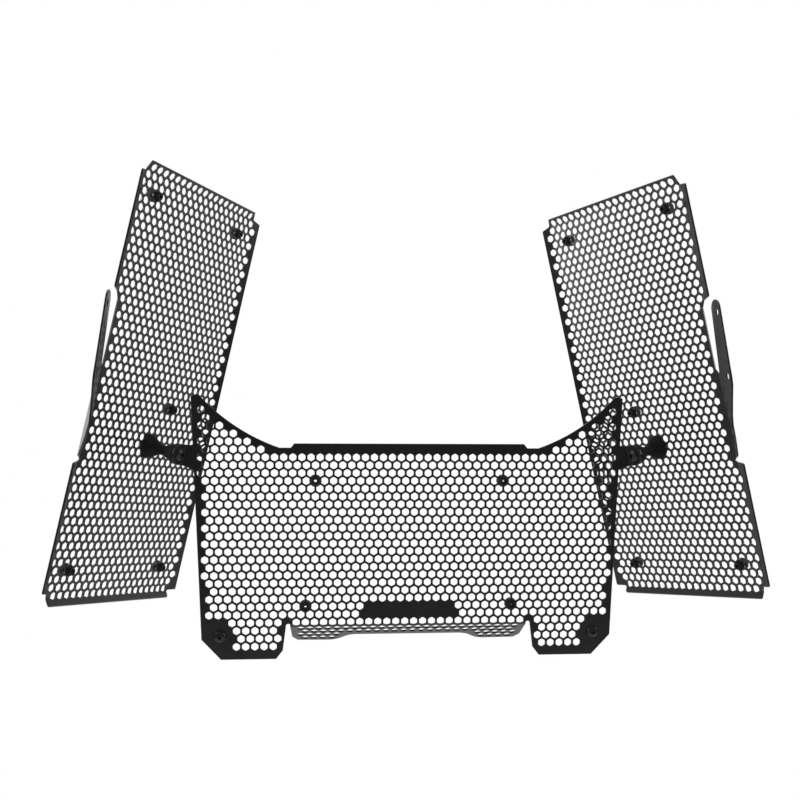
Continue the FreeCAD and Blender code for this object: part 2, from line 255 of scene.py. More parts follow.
class Plane:
    """A flat face: an origin, two directions in it and its front."""

    def __init__(self, origin, across, up):
        self.origin = np.asarray(origin, float)
        self.across = np.asarray(across, float)
        self.up = np.asarray(up, float)
        self.front = np.cross(self.across, self.up)

    def at(self, a, b, c=0.0):
        a, b, c = (np.asarray(x, float)[..., None] for x in (a, b, c))
        return self.origin + self.across * a + self.up * b + self.front * c


def side_plane():
    turn, lean, roll = (math.radians(x) for x in (side_turn, side_lean, side_roll))
    level = np.array([math.cos(turn), math.sin(turn), 0])
    steep = np.array([math.sin(lean) * math.sin(turn), -math.sin(lean) * math.cos(turn), math.cos(lean)])
    across = level * math.cos(roll) - steep * math.sin(roll)
    up = steep * math.cos(roll) + level * math.sin(roll)
    return Plane(centre.at(-side_ref[0], side_ref[2], -side_ref[1]), across, up)


centre = Plane((0, -sheet, middle_height), (1, 0, 0), (0, 0, 1))
side = side_plane()


def setback(angle, backward=False):
    """How far before the corner of its two faces a bend starts."""
    radius = bend + sheet if backward else bend
    return radius * math.tan(math.radians(angle) / 2)


def flange_reach(length, angle, backward=False):
    """How long a flange is in the flat, from the start of its bend."""
    return bend_mid * math.radians(angle) + length - setback(angle, backward)


class Fold:
    """A bend of the flat pattern: everything past a line, inside a box of the flat, turns about it.
    forward folds towards the front. Heights are from the middle of the sheet."""

    def __init__(self, foot, away, angle, forward, box):
        self.foot = np.asarray(foot, float)
        self.away = unit(away)
        self.along = np.array([-self.away[1], self.away[0]])
        self.angle = math.radians(angle)
        self.sign = 1.0 if forward else -1.0
        self.reach = bend_mid * self.angle
        self.box = box

    def past(self, flat):
        """How far points of the flat pattern lie beyond the line; nothing outside the box."""
        s = (flat - self.foot) @ self.away
        x1, x2, y1, y2 = self.box
        within = (flat[:, 0] > x1) & (flat[:, 0] < x2) & (flat[:, 1] > y1) & (flat[:, 1] < y2)
        return np.where(within, s, -1.0)

    def bend(self, flat, p):
        """Points p, which were at flat in the flat pattern, after this bend."""
        s = self.past(flat)
        turn = np.clip(s / bend_mid, 0, self.angle)
        reach = (p[:, :2] - self.foot) @ self.away
        side_way = (p[:, :2] - self.foot) @ self.along
        rest = reach - bend_mid * turn
        height = p[:, 2]
        out = bend_mid * np.sin(turn) + rest * np.cos(turn) - self.sign * height * np.sin(turn)
        lift = self.sign * (bend_mid * (1 - np.cos(turn)) + rest * np.sin(turn)) + height * np.cos(turn)
        moved = self.foot + np.outer(out, self.away) + np.outer(side_way, self.along)
        return np.where((s > 0)[:, None], np.column_stack([moved, lift]), p)

    def flatten(self, p):
        """A point past the bend, back in the flat."""
        p = np.asarray(p, float)
        out = (p[:2] - self.foot) @ self.away - bend_mid * math.sin(self.angle)
        side_way = (p[:2] - self.foot) @ self.along
        lift = p[2] - self.sign * bend_mid * (1 - math.cos(self.angle))
        c, s = math.cos(self.angle), math.sin(self.angle) * self.sign
        rest = c * out + s * lift
        flat = self.foot + self.away * (self.reach + rest) + self.along * side_way
        return np.array([flat[0], flat[1], c * lift - s * out])

    def creases(self):
        """Lines of the flat pattern that the bend needs as edges."""
        x1, x2, y1, y2 = self.box
        middle = np.array([(x1 + x2) / 2, (y1 + y2) / 2])
        lines = []
        for k in range(bend_steps + 1):
            p = self.foot + self.away * (self.reach * k / bend_steps)
            lines.append(self.clip(p + self.along * ((middle - p) @ self.along)))
        return [line for line in lines if line]

    def clip(self, m):
        """The stretch of the line through m that lies inside the box."""
        x1, x2, y1, y2 = self.box
        high = math.hypot(x2 - x1, y2 - y1)
        low = -high
        for k, (a, b) in enumerate(((x1, x2), (y1, y2))):
            d = self.along[k]
            if abs(d) < tiny:
                if not a < m[k] < b:
                    return None
                continue
            t1, t2 = sorted(((a - m[k]) / d, (b - m[k]) / d))
            low, high = max(low, t1), min(high, t2)
        if high - low < tiny:
            return None
        return m + self.along * low, m + self.along * high


def arc(p, via, q, steps=12):
    """Points of the round stretch from p to q through via, without p."""
    (x1, y1), (x2, y2), (x3, y3) = p, via, q
    d = 2 * (x1 * (y2 - y3) + x2 * (y3 - y1) + x3 * (y1 - y2))
    cx = ((x1**2 + y1**2) * (y2 - y3) + (x2**2 + y2**2) * (y3 - y1) + (x3**2 + y3**2) * (y1 - y2)) / d
    cy = ((x1**2 + y1**2) * (x3 - x2) + (x2**2 + y2**2) * (x1 - x3) + (x3**2 + y3**2) * (x2 - x1)) / d
    r = math.hypot(x1 - cx, y1 - cy)
    a1, a2, a3 = (math.atan2(y - cy, x - cx) for x, y in (p, via, q))
    span = (a3 - a1) % (2 * math.pi)
    if (a2 - a1) % (2 * math.pi) > span:
        span -= 2 * math.pi
    return [(cx + r * math.cos(a1 + span * k / steps), cy + r * math.sin(a1 + span * k / steps))
            for k in range(1, steps + 1)]


def trace(points):
    """An outline with its ('via', point) items turned into round stretches."""
    out = []
    k = 0
    while k < len(points):
        if points[k][0] == "via":
            out += arc(out[-1], points[k][1], points[k + 1])
            k += 2
        else:
            out.append(tuple(points[k]))
            k += 1
    return out


def round_corner(p, q, r, radius, steps):
    """The points of corner q, between p and r, rounded off; q itself where the line hardly turns."""
    p, q, r = (np.array(x, float) for x in (p, q, r))
    into, away = unit(q - p), unit(r - q)
    turn = math.acos(max(-1.0, min(1.0, float(into @ away))))
    shorter = min(np.linalg.norm(q - p), np.linalg.norm(r - q))
    cut = min(radius * math.tan(turn / 2), corner_share * shorter)
    if turn < least_turn or cut < least_cut:
        return [tuple(q)]
    a, b = q - into * cut, q + away * cut
    ways = (k / steps for k in range(steps + 1))
    return [tuple(a * (1 - t) ** 2 + 2 * q * t * (1 - t) + b * t**2) for t in ways]


def soften(points, radius, steps=4):
    """Rounds the corners of an outline that turn by more than a few degrees."""
    out = []
    for k, q in enumerate(points):
        out += round_corner(points[k - 1], q, points[(k + 1) % len(points)], radius, steps)
    return out


def anticlockwise(loop):
    area = sum(loop[k - 1][0] * loop[k][1] - loop[k][0] * loop[k - 1][1] for k in range(len(loop)))
    return loop if area > 0 else loop[::-1]


def shrink(loop, by):
    """An outline moved inwards; loops run anticlockwise."""
    out = []
    for k, q in enumerate(loop):
        p, q, r = (np.array(x, float) for x in (loop[k - 1], q, loop[(k + 1) % len(loop)]))
        into, away = unit(q - p), unit(r - q)
        m = np.array([-into[1] - away[1], into[0] + away[0]])
        out.append(tuple(q + m / max(least_push, (m @ m) / 2) * by))
    return out


def inside(points, outline):
    """Which points lie inside an outline."""
    x, y = points[:, 0], points[:, 1]
    result = np.zeros(len(points), bool)
    for (x1, y1), (x2, y2) in zip(outline, outline[1:] + outline[:1]):
        if y1 != y2:
            result ^= ((y1 > y) != (y2 > y)) & (x < (x2 - x1) * (y - y1) / (y2 - y1) + x1)
    return result


def edge_distance(points, outline):
    """How far points are from the nearest edge of an outline."""
    best = np.full(len(points), np.inf)
    for p, q in zip(outline, outline[1:] + outline[:1]):
        p, d = np.array(p, float), np.array(q, float) - np.array(p, float)
        size = d @ d
        if size > 0:
            t = np.clip(((points - p) @ d) / size, 0, 1)
            best = np.minimum(best, np.linalg.norm(points - p - t[:, None] * d, axis=1))
    return best


def gap_centres(outline, land, spots, bare):
    """Centres of the mesh's gaps: a hex lattice, kept where a gap is clear of the edges and of the spots,
    which are (x, y, clearance), and where bare says no."""
    rows, columns = np.arange(*mesh_rows), np.arange(*mesh_columns)
    a = (pitch * (columns[None, :] + 0.5 * (rows[:, None] % 2))).ravel()
    b = np.repeat(row_step * rows, len(columns))
    points = np.column_stack([a, b])
    keep = inside(points, outline) & (edge_distance(points, outline) >= land) & ~bare(a, b)
    for x, y, clear in spots:
        keep &= np.hypot(a - x, b - y) >= clear
    return points[keep]


def hex_loop(a, b, flats):
    """A hex gap, point up, with slightly cut corners."""
    r = flats / math.sqrt(3)
    turns = [math.radians(30 + 60 * k) for k in range(6)]
    corners = [(a + r * math.cos(t), b + r * math.sin(t)) for t in turns]
    loop = []
    for k, (x, y) in enumerate(corners):
        for other in (corners[k - 1], corners[(k + 1) % 6]):
            t = gap_softness / math.hypot(other[0] - x, other[1] - y)
            loop.append((x + (other[0] - x) * t, y + (other[1] - y) * t))
    return loop


def round_loop(a, b, radius, steps=24):
    turns = (2 * math.pi * k / steps for k in range(steps))
    return [(a + radius * math.cos(t), b + radius * math.sin(t)) for t in turns]


def in_gaps(points, gaps, flats):
    """Which points lie in a hex gap with its cut corners."""
    corner = flats / math.sqrt(3) - gap_softness / 2
    known = {(round(x / (pitch / 2)), round(y / row_step)) for x, y in gaps}
    nearest = np.round(points[:, 1] / row_step).astype(int)
    result = np.zeros(len(points), bool)
    for row in (nearest - 1, nearest, nearest + 1):
        odd = (row % 2) * 0.5
        column = np.round(points[:, 0] / pitch - odd) + odd
        dx, dy = np.abs(points[:, 0] - column * pitch), np.abs(points[:, 1] - row * row_step)
        hit = (dx < flats / 2) & (dx / 2 + dy * math.sqrt(3) / 2 < flats / 2)
        hit &= (dy < corner) & (dx * math.sqrt(3) / 2 + dy / 2 < corner)
        halves = np.round(2 * column).astype(int)
        result |= hit & np.array([key in known for key in zip(halves, row)])
    return result


def cut_pattern(outline, gaps, gap_flats, round_gaps, folds):
    """A flat pattern as points and anticlockwise triangles, with edges along its outline, gaps and creases.
    Everything is cut back by the chamfer, which the sheet's sides get back."""
    hex_flats = gap_flats + 2 * chamfer
    loops = [shrink(outline, chamfer)]
    loops += [hex_loop(x, y, hex_flats) for x, y in gaps]
    loops += [round_loop(x, y, r + chamfer) for x, y, r in round_gaps]
    verts = []
    edges = []
    for loop in loops:
        start = len(verts)
        verts += [Vector(p) for p in loop]
        edges += [(start + k, start + (k + 1) % len(loop)) for k in range(len(loop))]
    for fold in folds:
        for p, q in fold.creases():
            edges.append((len(verts), len(verts) + 1))
            verts += [Vector(p), Vector(q)]
    flat, _, tris, *_ = delaunay_2d_cdt(verts, edges, [], 0, merge_distance, False)
    flat = np.array([tuple(v) for v in flat])
    tris = np.array([tuple(t) for t in tris])
    middles = flat[tris].mean(axis=1)
    keep = inside(middles, loops[0]) & ~in_gaps(middles, gaps, hex_flats)
    for x, y, r in round_gaps:
        keep &= np.hypot(middles[:, 0] - x, middles[:, 1] - y) > (r + chamfer) * round_hole_share
    used, tris = np.unique(tris[keep], return_inverse=True)
    flat, tris = flat[used], tris.reshape(-1, 3)
    p = flat[tris]
    area = np.cross(p[:, 1] - p[:, 0], p[:, 2] - p[:, 0])
    tris[area < 0] = tris[area < 0][:, ::-1]
    return flat, tris


def rim_of(flat, tris):
    """The border edges of the triangles, with the material on their left, the numbers of their points, and
    those points pushed out by the chamfer."""
    half_edges = np.concatenate([tris[:, [0, 1]], tris[:, [1, 2]], tris[:, [2, 0]]])
    keys = set(map(tuple, half_edges))
    rim = np.array([e for e in map(tuple, half_edges) if (e[1], e[0]) not in keys])
    push = np.zeros_like(flat)
    for i, j in rim:
        d = flat[j] - flat[i]
        d = d / max(np.linalg.norm(d), tiny)
        outwards = np.array([d[1], -d[0]])
        push[i] += outwards
        push[j] += outwards
    numbers = np.unique(rim)
    push = push[numbers]
    scale = chamfer / np.maximum(least_push, (push**2).sum(axis=1) / 2)
    return rim, numbers, flat[numbers] + push * scale[:, None]


def add_object(name, data):
    item = bpy.data.objects.new(name, data)
    bpy.context.scene.collection.objects.link(item)
    return item


def add_mesh(name, points, faces):
    """A new mesh object. Its points are in millimetres."""
    mesh = bpy.data.meshes.new(name)
    mesh.from_pydata([tuple(p * MM) for p in points], [], [tuple(int(x) for x in f) for f in faces])
    mesh.validate()
    mesh.update()
    return add_object(name, mesh)


def shade(piece, angle):
    piece.data.polygons.foreach_set("use_smooth", [True] * len(piece.data.polygons))
    piece.data.set_sharp_from_angle(angle=math.radians(angle))


def folded_sheet(name, plane, outline, gaps, gap_flats, round_gaps, folds):
    """The solid sheet of a flat pattern, pierced, folded and set on its plane.
    A point passes the folds in their order, the farthest from the plane first."""
    flat, tris = cut_pattern(outline, gaps, gap_flats, round_gaps, folds)
    rim, rim_points, wide = rim_of(flat, tris)
    half = sheet / 2
    layers = [(flat, half), (flat, -half), (wide, half - chamfer), (wide, chamfer - half)]
    flats = np.concatenate([xy for xy, height in layers])
    points = np.concatenate([np.column_stack([xy, np.full(len(xy), height)]) for xy, height in layers])
    for fold in folds:
        points = fold.bend(flats, points)
    points = plane.at(points[:, 0], points[:, 1], points[:, 2] - half)

    n, m = len(flat), len(rim_points)
    wide_number = {v: 2 * n + k for k, v in enumerate(rim_points)}
    faces = [tuple(t) for t in tris]
    faces += [tuple(t[::-1] + n) for t in tris]
    for i, j in rim:
        a, b = wide_number[i], wide_number[j]
        faces += [(i, a, b, j), (a, a + m, b + m, b), (a + m, i + n, j + n, b + m)]
    piece = add_mesh(name, points, faces)
    shade(piece, sheet_crease)
    return piece


def mirrored(piece, name):
    """The right-hand twin of a left-hand piece."""
    mesh = piece.data.copy()
    mesh.name = name
    mesh.transform(Matrix.Scale(-1, 4, (1, 0, 0)))
    mesh.flip_normals()
    return add_object(name, mesh)


# The lower guard in its flat pattern: where its bends start, and the left ear's fold line and screw hole
lip_start = guard_bottom + setback(lip_fold, True)
top_start = guard_top - setback(top_fold, True)
ear_centre = side.at(mount_at[0], mount_at[1], mount_length + sheet).ravel()
ear_crease = unit(np.cross(centre.front, side.front))
ear_crease = ear_crease * np.sign(ear_crease[2])
ear_out = unit(np.cross(ear_crease, side.front))
ear_out = ear_out * -np.sign(ear_out[1])
ear_foot = ear_centre - ear_out * ((ear_centre[1] - centre.origin[1]) / ear_out[1])
ear_angle = math.degrees(math.acos(float(centre.front @ side.front)))
tab_out = np.array([-ear_crease[2], ear_crease[0]])
tab_along = np.array([ear_crease[0], ear_crease[2]])
tab_foot = np.array([ear_foot[0], ear_foot[2] - middle_height]) - tab_out * setback(ear_angle)
tab_hub = tab_foot + tab_out * flange_reach(np.linalg.norm(ear_centre - ear_foot), ear_angle)


def flank(b):
    t = (b - flank_foot[1]) / (horn_out[1] - flank_foot[1])
    return flank_foot[0] + t * (horn_out[0] - flank_foot[0])


def lip(p):
    """A point of the lip, across from the middle and down from the fold, on the left half of the flat."""
    return -p[0], lip_start - flange_reach(p[1], lip_fold, True)


def centre_outline():
    """The lower guard in the flat: its left half, from the top middle to the bottom middle, and its twin."""
    top_end = top_start + flange_reach(top_flange, top_fold, True)
    tab_top = tab_foot + tab_along * ear_radius
    tab_low = tab_foot - tab_along * ear_radius
    half = trace([
        (-top_flange_half, top_end), (-shoulder_in, shoulder), (-shoulder_out, shoulder),
        ("via", (-horn_via[0], horn_via[1])), (-horn_in[0], horn_in[1]), (-horn_out[0], horn_out[1]),
        (-flank(tab_top[1]), tab_top[1]), tuple(tab_top), tuple(tab_hub + tab_along * ear_radius),
        ("via", tuple(tab_hub + tab_out * ear_radius)), tuple(tab_hub - tab_along * ear_radius),
        tuple(tab_low), (-flank(tab_low[1] - tab_taper), tab_low[1] - tab_taper),
        (-flank_foot[0], flank_foot[1]),
        (-leg_out, leg_bottom), (-leg_in, leg_bottom), (-leg_knee[0], leg_knee[1]),
        (-leg_crotch[0], leg_crotch[1]), ("via", (-crotch_via[0], crotch_via[1])), (-bottom_half, lip_start),
        lip(lip_side), lip(lip_lobe), lip(lip_wave[0]), ("via", lip(lip_wave[1])), lip(lip_wave[2]),
        ("via", lip(lip_wave[3])), lip(lip_wave[4])])
    return soften(anticlockwise(half + [(-x, y) for x, y in half[::-1]]), guard_round)


def centre_bare(a, b):
    """Where the lower guard's mesh leaves its plain strip, and the top row it doesn't have."""
    row = np.round(b / row_step)
    bare = np.zeros(len(row), bool)
    for number, half in bare_rows.items():
        bare |= (row == number) & (np.abs(a) < half)
    return bare


def centre_folds():
    """The lip, the top flange, and the left and the right ear."""
    folds = [Fold((0, lip_start), (0, -1), lip_fold, False,
                  (-bottom_half - fold_margin, bottom_half + fold_margin, -beyond, lip_start + fold_margin)),
             Fold((0, top_start), (0, 1), top_fold, False,
                  (-shoulder_in, shoulder_in, top_start - fold_margin, beyond))]
    for mirror in ((1, 1), (-1, 1)):
        foot = tab_foot * mirror
        ends = sorted((-mirror[0] * beyond, foot[0] + mirror[0] * ear_box_in))
        folds.append(Fold(foot, tab_out * mirror, ear_angle, True,
                          (*ends, foot[1] - ear_box_half, foot[1] + ear_box_half)))
    return folds


def make_centre_guard():
    outline = centre_outline()
    spots = [(s * corner_at[0], corner_at[1], corner_land) for s in (-1, 1)]
    spots += [(s * tab_hub[0], tab_hub[1], ear_land) for s in (-1, 1)]
    gaps = gap_centres(outline, edge_land, spots, centre_bare)
    round_gaps = [(s * corner_at[0], corner_at[1], corner_shoulder / 2) for s in (-1, 1)]
    round_gaps += [(s * tab_hub[0], tab_hub[1], screw_shank / 2 + hole_slack) for s in (-1, 1)]
    return folded_sheet("centre_guard_mesh", centre, outline, gaps, centre_gap_flats, round_gaps,
                        centre_folds())


# The side guard in its flat pattern: where its bends start, and the corners beside its flanges
west = fold_outer + setback(angle_outer)
east = fold_inner - setback(angle_inner)
north = fold_top - setback(angle_top)
south = fold_bottom + setback(angle_bottom)
out_reach = west - flange_reach(flange_outer, angle_outer)
in_reach = east + flange_reach(flange_inner, angle_inner)
left_in = fold_outer + corner_across
outer_top, outer_foot = fold_top - corner_up[0], fold_bottom + corner_up[1]

# Its web, and the crease between web and arm, where their two planes meet
web_west = fold_outer + setback(web_angle)
web_slope = -math.tan(math.radians(web_angle))
web_front = unit(np.array([-web_slope, 0, 1.0]))
arm_front = unit(np.array([-arm_slope[0], -arm_slope[1], 1.0]))
arm_turn = math.degrees(math.acos(float(web_front @ arm_front)))


def web_flat(a, b):
    """A point of the web, given on the side guard's plane, in the flat."""
    length = abs(a - fold_outer) / math.cos(math.radians(web_angle))
    return web_west - flange_reach(length, web_angle), b


def crease_flat(b):
    """The point of the crease at a height, in the flat."""
    a = (arm_rise + arm_slope[1] * b + web_slope * fold_outer) / (web_slope - arm_slope[0])
    return np.array(web_flat(a, b))


def out_of_crease():
    """The direction in the flat that crosses the crease towards the arm."""
    along = unit(crease_flat(crease_low) - crease_flat(crease_high))
    across = np.array([along[1], -along[0]])
    return across if across[1] > across[0] else -across


arm_way = out_of_crease()
bend_in, bend_out = (crease_flat(b) - arm_way * setback(arm_turn, True) for b in (crease_high, crease_low))
web_fold = Fold((web_west, 0), (-1, 0), web_angle, True,
                (-beyond, web_west + fold_margin, notch_top + notch_margin, slot_top - arm_margin))
arm_fold = Fold(bend_in, arm_way, arm_turn, False,
                (-beyond, web_west - arm_box_step, arm_box_foot, slot_top - arm_margin))


def arm_flat(a, b):
    """A point of the arm, given on the side guard's plane, in the flat."""
    p = (a, b, arm_rise + arm_slope[0] * a + arm_slope[1] * b + sheet / 2)
    q = arm_fold.flatten(web_fold.flatten(p))
    return float(q[0]), float(q[1])


def side_outline():
    """The left side guard in the flat."""
    right_high, right_low = (fold_inner + past for past in corner_past)
    top_reach = north + flange_reach(flange_end, angle_top)
    low_reach = south - flange_reach(flange_end, angle_bottom)
    outline = [(left_in, south), (low_ends[0], low_reach), (low_ends[1], low_reach), (right_low, south),
               (in_reach, south + inner_slants[1]), (in_reach, north - inner_slants[0]), (right_high, north),
               (top_ends[1], top_reach), (top_ends[0], top_reach), (left_in, north), (west, outer_top),
               (out_reach, outer_top - flange_slant), (out_reach, slot_top + flange_slant_slot),
               (west, slot_top), (slot_side, slot_top - slot_slants[0]),
               (slot_side, slot_foot + slot_slants[1]), (web_west, slot_foot),
               tuple(bend_in), arm_flat(*arm_inner), ("via", arm_flat(*arm_tip)),
               arm_flat(*arm_outer[1]), arm_flat(*arm_outer[0]), ("via", arm_flat(*arm_elbow))]
    outline += [arm_flat(*p) for p in arm_edge[::-1]] + [tuple(bend_out)]
    outline += [web_flat(*p) for p in web_edge[::-1]]
    outline += [(web_west, notch_top), (web_west + notch_deep, notch_top - notch_slant),
                (web_west + notch_deep, notch_foot + notch_slant), (west, notch_foot),
                (out_reach, notch_foot - flange_slant), (out_reach, outer_foot + flange_slant),
                (west, outer_foot)]
    return soften(anticlockwise(trace(outline)), corner_round)


def side_bare(a, b):
    """Where the side guard's mesh leaves the sheet bare on its outer side and at its foot."""
    beside = (a < bare_beside) & (b > bare_beside_heights[0]) & (b < bare_beside_heights[1])
    return (a < bare_left) | (b < bare_below) | beside


def side_folds():
    """The bottom, top and inner flange, the outer flange above the slot and below the notch, arm and web."""
    right, left = in_reach + fold_margin, west + fold_margin
    return [Fold((0, south), (0, -1), angle_bottom, True,
                 (low_ends[0] - end_margin, right, -beyond, south + fold_margin)),
            Fold((0, north), (0, 1), angle_top, True,
                 (left_in - end_margin, right, north - fold_margin, beyond)),
            Fold((east, 0), (1, 0), angle_inner, True, (east - fold_margin, beyond, -beyond, beyond)),
            Fold((west, 0), (-1, 0), angle_outer, True,
                 (-beyond, left, slot_top - slot_margin, outer_top + end_margin)),
            Fold((west, 0), (-1, 0), angle_outer, True,
                 (-beyond, left, outer_foot - end_margin, notch_foot + end_margin)),
            arm_fold, web_fold]


def make_side_guard():
    """The left side guard."""
    outline = side_outline()
    gaps = gap_centres(outline, side_edge_land, [(*mount_at, mount_land)], side_bare)
    round_gaps = [(*mount_at, screw_shank / 2 + hole_slack)]
    round_gaps += [(*arm_flat(*p), arm_hole / 2) for p in arm_holes]
    return folded_sheet("left_guard_mesh", side, outline, gaps, side_gap_flats, round_gaps, side_folds())


def lathe(name, plane, a, b, profile, steps=48, turned=1.0):
    """A turned solid on a plane. Profile points are (radius, height); a third item 1 makes that ring a hex.
    A profile that starts and ends on the axis is closed there; any other closes on itself."""
    rings = []
    points = []
    for item in profile:
        if item[0] == 0:
            rings.append([len(points)])
            points.append(plane.at(a, b, item[1] * turned))
            continue
        rings.append(range(len(points), len(points) + steps))
        for k in range(steps):
            t = 2 * math.pi * k / steps
            r = item[0]
            if len(item) > 2:
                r = item[0] / math.cos((t + math.pi / 6) % (math.pi / 3) - math.pi / 6)
            points.append(plane.at(a + r * math.cos(t), b + r * math.sin(t), item[1] * turned))
    pairs = list(zip(rings, rings[1:]))
    if profile[0][0] != 0:
        pairs.append((rings[-1], rings[0]))
    faces = []
    for low_ring, high_ring in pairs:
        for k in range(steps):
            n = (k + 1) % steps
            if len(low_ring) == 1:
                faces.append((low_ring[0], high_ring[n], high_ring[k]))
            elif len(high_ring) == 1:
                faces.append((low_ring[k], low_ring[n], high_ring[0]))
            else:
                faces.append((low_ring[k], low_ring[n], high_ring[n], high_ring[k]))
    piece = add_mesh(name, points, faces)
    flipper = bmesh.new()
    flipper.from_mesh(piece.data)
    bmesh.ops.recalc_face_normals(flipper, faces=flipper.faces)
    flipper.to_mesh(piece.data)
    flipper.free()
    piece.data.update()
    shade(piece, turned_crease)
    return piece


def buffer_profile():
    """A head in front of the sheet, a neck through it and a pad behind it, round a bore."""
    pad, neck, head, tip, bore = (
        d / 2 for d in (buffer_pad, buffer_neck, buffer_head, buffer_tip, buffer_bore))
    top, edge, back = buffer_head_height, buffer_head_edge, -sheet - buffer_pad_depth
    outer = [(bore, top), (tip, top), (head, edge), (head - edge, 0.0), (neck, 0.0), (neck, -sheet),
             (pad, -sheet), (pad, back), (bore, back)]
    return soften(outer, buffer_round, steps=3)


def mount_profile():
    """A spool with a rounded waist and rims, and a blind hole in each end."""
    base, waist, end, hole = (d / 2 for d in (mount_base, mount_waist, mount_end, screw_shank))
    far = mount_length
    line = [(0.0, mount_screw_depth), (hole, mount_screw_depth), (hole, 0.0), (base, 0.0), (base, mount_rim),
            (waist, mount_waist_ends[0]), (waist, mount_waist_ends[1]), (end, far - mount_rim), (end, far),
            (hole, far), (hole, far - mount_screw_depth), (0.0, far - mount_screw_depth)]
    rounded = [line[0]]
    for p, q, r in zip(line, line[1:], line[2:]):
        if q[0] == hole:
            rounded.append(q)
        else:
            radius = mount_waist_round if q[0] == waist else mount_round
            rounded += round_corner(p, q, r, radius, steps=6)
    return rounded + [line[-1]]


def screw_profile(length):
    """A domed head with a hex socket on a plain shank."""
    head, shank, socket = (d / 2 for d in (screw_head, screw_shank, screw_socket))
    top, edge = screw_head_height, screw_head_edge
    socket_floor = top - socket_depth
    dome = [(head * math.cos(t) ** screw_dome_power, edge + (top - edge) * math.sin(t)) for t in screw_dome]
    return [(0.0, -length), (shank - screw_tip, -length), (shank, screw_tip - length), (shank, 0.0),
            (head - screw_head_under, 0.0), *dome, (socket * socket_rim, top), (socket, top, 1),
            (socket, socket_floor, 1), (0.0, socket_floor - socket_point)]


def make_screw(name, plane, a, b, length, seat=0.0, turned=1.0):
    seated = Plane(plane.at(0, 0, seat), plane.across, plane.up)
    return lathe(name, seated, a, b, screw_profile(length), turned=turned)


def both(name, piece):
    """A piece and its mirror twin as one mesh."""
    whole = bmesh.new()
    for item in (piece, mirrored(piece, name + "_twin")):
        whole.from_mesh(item.data)
        bpy.data.objects.remove(item)
    mesh = bpy.data.meshes.new(name)
    whole.to_mesh(mesh)
    whole.free()
    return add_object(name, mesh)


def new_material(name):
    """A new procedural material, its node tree and its shader."""
    material = bpy.data.materials.new(name)
    material.use_nodes = True
    tree = material.node_tree
    return material, tree, tree.nodes["Principled BSDF"]


def noise(tree, scale, detail):
    place = tree.nodes.new("ShaderNodeTexCoord")
    texture = tree.nodes.new("ShaderNodeTexNoise")
    texture.inputs["Scale"].default_value = scale
    texture.inputs["Detail"].default_value = detail
    tree.links.new(place.outputs["Object"], texture.inputs["Vector"])
    return texture.outputs["Fac"]


def mapped(tree, value, source, target, kind="LINEAR"):
    """A value taken from one range to another."""
    ramp = tree.nodes.new("ShaderNodeMapRange")
    ramp.interpolation_type = kind
    for key, end in zip(("From Min", "From Max", "To Min", "To Max"), (*source, *target)):
        ramp.inputs[key].default_value = end
    tree.links.new(value, ramp.inputs["Value"])
    return ramp.outputs["Result"]


def calculated(tree, operation, first, second):
    node = tree.nodes.new("ShaderNodeMath")
    node.operation = operation
    tree.links.new(first, node.inputs[0])
    tree.links.new(second, node.inputs[1])
    return node.outputs[0]


def tint(tree, factor, dark, light, out):
    mix = tree.nodes.new("ShaderNodeMix")
    mix.data_type = "RGBA"
    mix.inputs[6].default_value = (*dark, 1)
    mix.inputs[7].default_value = (*light, 1)
    tree.links.new(factor, mix.inputs[0])
    tree.links.new(mix.outputs[2], out)


def grain(tree, shader, scale, strength):
    bump = tree.nodes.new("ShaderNodeBump")
    bump.inputs["Strength"].default_value = strength
    bump.inputs["Distance"].default_value = grain_depth
    tree.links.new(noise(tree, scale, detail=2.0), bump.inputs["Height"])
    tree.links.new(bump.outputs["Normal"], shader.inputs["Normal"])


def surface(name, dark, light, rough, tone_scale, grain_scale, grain_strength, shine, metal=0.0):
    """A finish that varies between two tones and two roughnesses, with a fine grain."""
    material, tree, shader = new_material(name)
    tint(tree, noise(tree, tone_scale, detail=4.0), dark, light, shader.inputs["Base Color"])
    roughness = noise(tree, tone_scale * rough_finer, detail=3.0)
    tree.links.new(mapped(tree, roughness, noise_range, rough), shader.inputs["Roughness"])
    shader.inputs["Metallic"].default_value = metal
    shader.inputs["Specular IOR Level"].default_value = shine
    grain(tree, shader, grain_scale, grain_strength)
    return material


powder = surface("satin_black_powder", (0.006, 0.007, 0.008), (0.011, 0.012, 0.014), rough=(0.26, 0.34),
                 tone_scale=25.0, grain_scale=2600.0, grain_strength=0.06, shine=0.45)
rubber = surface("black_rubber", (0.004, 0.004, 0.004), (0.008, 0.008, 0.008), rough=(0.58, 0.7),
                 tone_scale=60.0, grain_scale=1500.0, grain_strength=0.15, shine=0.22)
mount_rubber = surface("mount_rubber", (0.007, 0.007, 0.007), (0.011, 0.011, 0.011), rough=(0.58, 0.7),
                       tone_scale=60.0, grain_scale=1500.0, grain_strength=0.15, shine=0.1)
# The screws' warm brownish tone is partly coating wear and partly a painted reflection: the brownish
# highlight on the screw heads is painted into their colour.
screw_wear_and_painted_sheen = surface("blackened_screw_wear_and_painted_sheen", (0.012, 0.010, 0.009), (0.03, 0.024, 0.021), rough=(0.3, 0.4),
                      tone_scale=200.0, grain_scale=2200.0, grain_strength=0.06, shine=0.35, metal=0.3)

# The pieces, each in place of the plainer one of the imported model
guard, left = make_centre_guard(), make_side_guard()
made = [(guard, "centre_guard", powder), (left, "left_guard", powder),
        (mirrored(left, "right_guard_mesh"), "right_guard", powder)]
left_buffers = [("buffer_" + place, side, a, b) for place, (a, b) in side_buffers.items()]
left_buffers += [("centre_buffer_" + place, centre, -a, b) for place, (a, b) in centre_buffers.items()]
for name, plane, a, b in left_buffers:
    buffer = lathe("left_" + name + "_round", plane, a, b, buffer_profile())
    made.append((buffer, "left_" + name, rubber))
    made.append((mirrored(buffer, "right_" + name + "_round"), "right_" + name, rubber))

